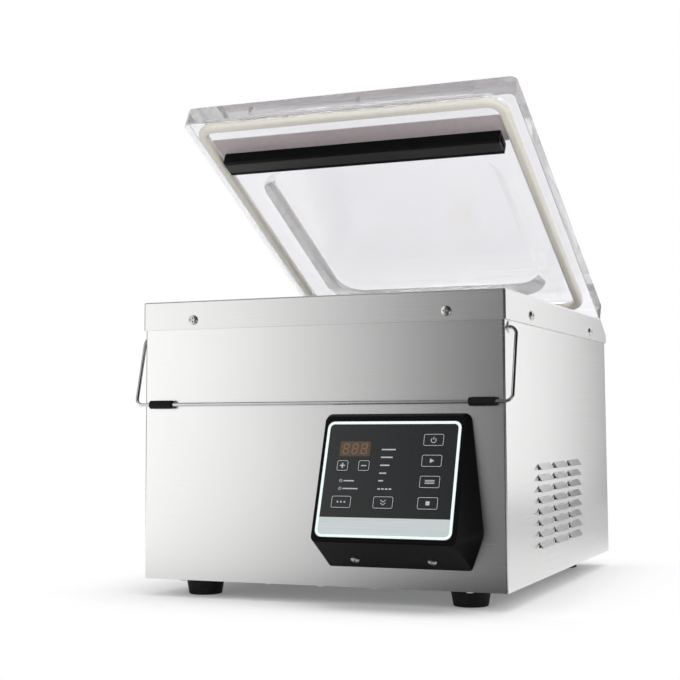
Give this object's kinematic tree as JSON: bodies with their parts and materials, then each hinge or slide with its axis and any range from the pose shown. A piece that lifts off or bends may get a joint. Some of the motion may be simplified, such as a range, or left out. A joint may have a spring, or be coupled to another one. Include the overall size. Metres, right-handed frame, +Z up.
{
  "type": "vacuum sealer",
  "caption": "Countertop chamber vacuum sealer: stainless case with louvred sides, clear hinged lid held open by springs, lifting seal bar, tilted key panel and wire bail.",
  "frame": {"origin": "on the table under the feet, at the middle of the whole box from side to side and from front to back, lid open as in the picture", "axes": "+X to the right of somebody facing the front, +Y from the front to the back, +Z up; the control box and the bail are on the -Y side"},
  "size_m": [0.345, 0.4466, 0.446],
  "materials": {
    "stainless_brushed": "brushed stainless sheet",
    "stainless_chamber": "satin drawn stainless",
    "galvanised": "dull galvanised sheet",
    "screw_steel": "bright plated steel",
    "wire_steel": "polished steel wire",
    "spring_steel": "dark spring steel",
    "rubber_black": "matte black rubber",
    "silicone_cream": "soft cream silicone",
    "silicone_black": "smooth black silicone",
    "acrylic_clear": "clear polished acrylic",
    "film_pale": "pale translucent strip",
    "plastic_black": "fine textured black moulding",
    "panel_charcoal": "satin printed face sheet",
    "key_face": "satin printed key",
    "window_brown": "tinted glossy window",
    "display_black": "dark display face",
    "board_green": "green board",
    "bar_black": "black anodised aluminium",
    "bar_aluminium": "plain aluminium",
    "insulator_white": "pale insulating sheet",
    "heater": "flat resistance wire",
    "tape_brown": "brown release tape",
    "nylon_white": "white nylon",
    "brass_fitting": "turned brass",
    "motor_grey": "grey paint",
    "cast_alloy": "die cast alloy",
    "core_steel": "varnished laminations",
    "coil_yellow": "taped winding"
  },
  "bodies": {
    "case": {"base_plate": "galvanised", "body_wrap": "stainless_brushed", "rear_panel": "stainless_brushed", "top_cover": "stainless_brushed", "chamber_pan": "stainless_chamber", "vacuum_port": "brass_fitting", "rubber_feet": "rubber_black", "foot_bolts": "screw_steel", "cover_screws": "screw_steel", "base_screws": "screw_steel", "rear_screws": "screw_steel", "control_box": "plastic_black", "control_box_screws": "screw_steel", "panel_overlay": "panel_charcoal", "display_window": "window_brown", "display_digits": "display_black", "control_board": "board_green", "key_domes": "screw_steel", "hinge_fixed_leaves": "screw_steel", "hinge_pins": "screw_steel", "hinge_springs": "spring_steel", "hinge_screws": "screw_steel", "bail_bushes": "nylon_white", "lift_cylinders": "cast_alloy", "power_inlet": "plastic_black", "inlet_screws": "screw_steel", "pump_motor": "motor_grey", "pump_head": "cast_alloy", "pump_bracket": "galvanised", "pump_mounts": "rubber_black", "transformer_core": "core_steel", "transformer_coil": "coil_yellow", "vacuum_valve": "brass_fitting", "vent_valve": "brass_fitting", "suction_hose": "rubber_black", "power_board": "board_green", "board_posts": "nylon_white"},
    "lid": {"lid_panel": "acrylic_clear", "lid_gasket": "silicone_cream", "lid_bar_backing": "film_pale", "press_bar": "bar_black", "press_strip": "silicone_black", "press_bar_screws": "screw_steel", "hinge_lid_leaves": "screw_steel", "lid_leaf_screws": "screw_steel"},
    "bail": {"bail_wire": "wire_steel", "bail_sleeves": "rubber_black"},
    "seal_bar": {"seal_carrier": "bar_aluminium", "seal_insulator": "insulator_white", "heating_strip": "heater", "seal_tape": "tape_brown", "lift_posts": "screw_steel"},
    "key_power_body": {"key_power": "key_face"},
    "key_start_body": {"key_start": "key_face"},
    "key_seal_body": {"key_seal": "key_face"},
    "key_stop_body": {"key_stop": "key_face"},
    "key_mode_body": {"key_mode": "key_face"},
    "key_vacuum_body": {"key_vacuum": "key_face"},
    "key_plus_body": {"key_plus": "key_face"},
    "key_minus_body": {"key_minus": "key_face"}
  },
  "joints": [
    {"name": "lid_hinge", "type": "hinge", "parent": "case", "child": "lid", "pos_m": [0, 0.19703, 0.2563], "axis": [1, 0, 0], "range_deg": [0, 27.2], "stiffness_Nm_per_rad": 3, "springref_deg": -97.4, "deforming": ["hinge_springs"]},
    {"name": "bail_swing", "type": "hinge", "parent": "case", "child": "bail", "pos_m": [0, -0.17007, 0.2263], "axis": [-1, 0, 0], "range_deg": [0, 178]},
    {"name": "seal_bar_lift", "type": "slide", "parent": "case", "child": "seal_bar", "axis": [0, 0, 1], "range_m": [0, 0.008]},
    {"name": "key_power_press", "type": "slide", "parent": "case", "child": "key_power_body", "axis": [0, 0.9444, -0.3289], "range_m": [0, 0.0005], "stiffness_N_per_m": 800, "springref_m": -0.0005},
    {"name": "key_start_press", "type": "slide", "parent": "case", "child": "key_start_body", "axis": [0, 0.9444, -0.3289], "range_m": [0, 0.0005], "stiffness_N_per_m": 800, "springref_m": -0.0005},
    {"name": "key_seal_press", "type": "slide", "parent": "case", "child": "key_seal_body", "axis": [0, 0.9444, -0.3289], "range_m": [0, 0.0005], "stiffness_N_per_m": 800, "springref_m": -0.0005},
    {"name": "key_stop_press", "type": "slide", "parent": "case", "child": "key_stop_body", "axis": [0, 0.9444, -0.3289], "range_m": [0, 0.0005], "stiffness_N_per_m": 800, "springref_m": -0.0005},
    {"name": "key_mode_press", "type": "slide", "parent": "case", "child": "key_mode_body", "axis": [0, 0.9444, -0.3289], "range_m": [0, 0.0005], "stiffness_N_per_m": 800, "springref_m": -0.0005},
    {"name": "key_vacuum_press", "type": "slide", "parent": "case", "child": "key_vacuum_body", "axis": [0, 0.9444, -0.3289], "range_m": [0, 0.0005], "stiffness_N_per_m": 800, "springref_m": -0.0005},
    {"name": "key_plus_press", "type": "slide", "parent": "case", "child": "key_plus_body", "axis": [0, 0.9444, -0.3289], "range_m": [0, 0.0005], "stiffness_N_per_m": 800, "springref_m": -0.0005},
    {"name": "key_minus_press", "type": "slide", "parent": "case", "child": "key_minus_body", "axis": [0, 0.9444, -0.3289], "range_m": [0, 0.0005], "stiffness_N_per_m": 800, "springref_m": -0.0005}
  ]
}
